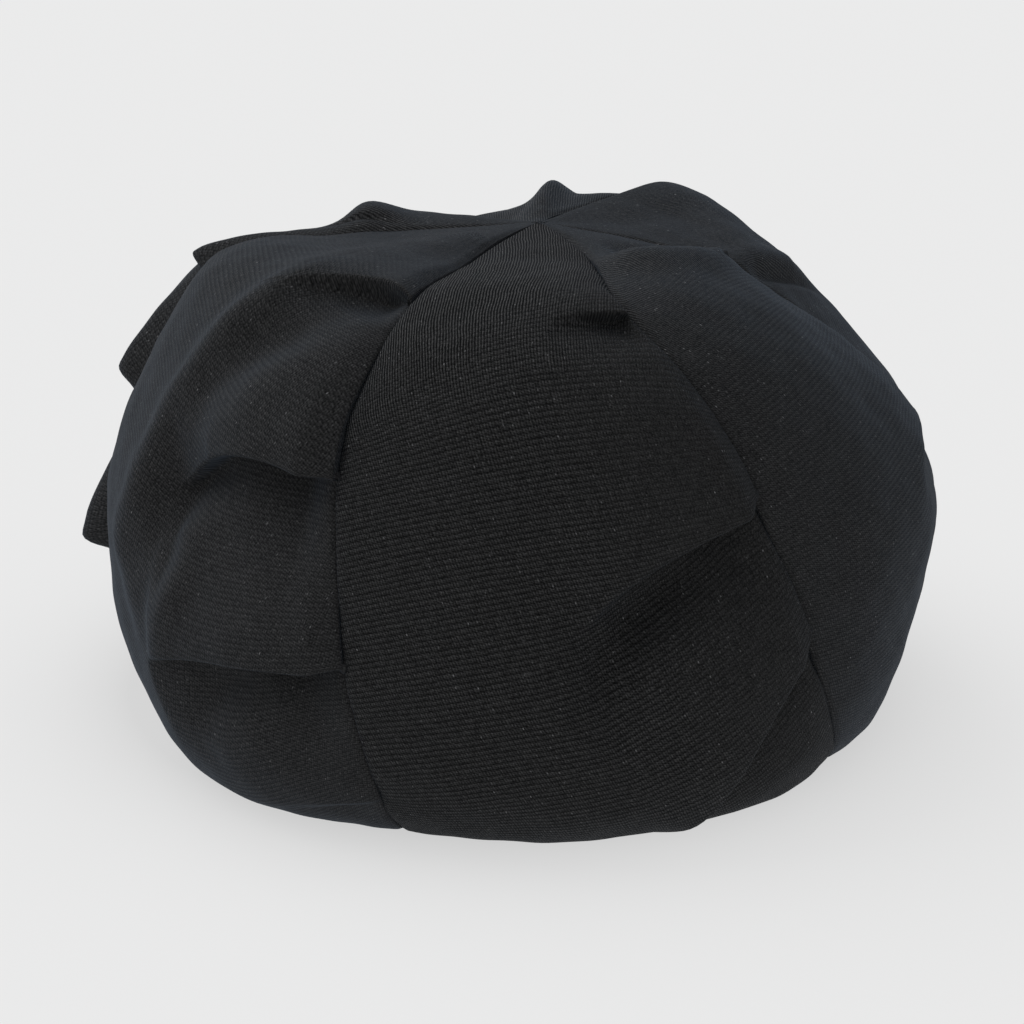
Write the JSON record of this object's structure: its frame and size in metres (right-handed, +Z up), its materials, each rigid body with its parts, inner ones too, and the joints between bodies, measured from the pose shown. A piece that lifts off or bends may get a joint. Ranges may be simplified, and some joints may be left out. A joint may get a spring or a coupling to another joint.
{
  "type": "baker boy cap",
  "caption": "Soft baker boy cap with a full crown of gathered, pleated panels, a headband and a short rounded peak.",
  "frame": {"origin": "middle of the footprint, on the surface that the cap stands on", "axes": "+Z up out of the top of the crown, +Y towards the peak (the way the wearer faces), +X to the wearer's right"},
  "size_m": [0.2438, 0.2742, 0.1448],
  "materials": {
    "crown_cloth": "matte ribbed knit",
    "band_cloth": "matte ribbed knit",
    "peak_cloth": "matte ribbed knit over a stiff peak"
  },
  "bodies": {
    "root": {"crown_panel_rear": "crown_cloth", "crown_panel_rear_right": "crown_cloth", "crown_panel_front_right": "crown_cloth", "crown_panel_front": "crown_cloth", "crown_panel_front_left": "crown_cloth", "crown_panel_rear_left": "crown_cloth", "headband": "band_cloth", "peak": "peak_cloth"}
  },
  "joints": []
}
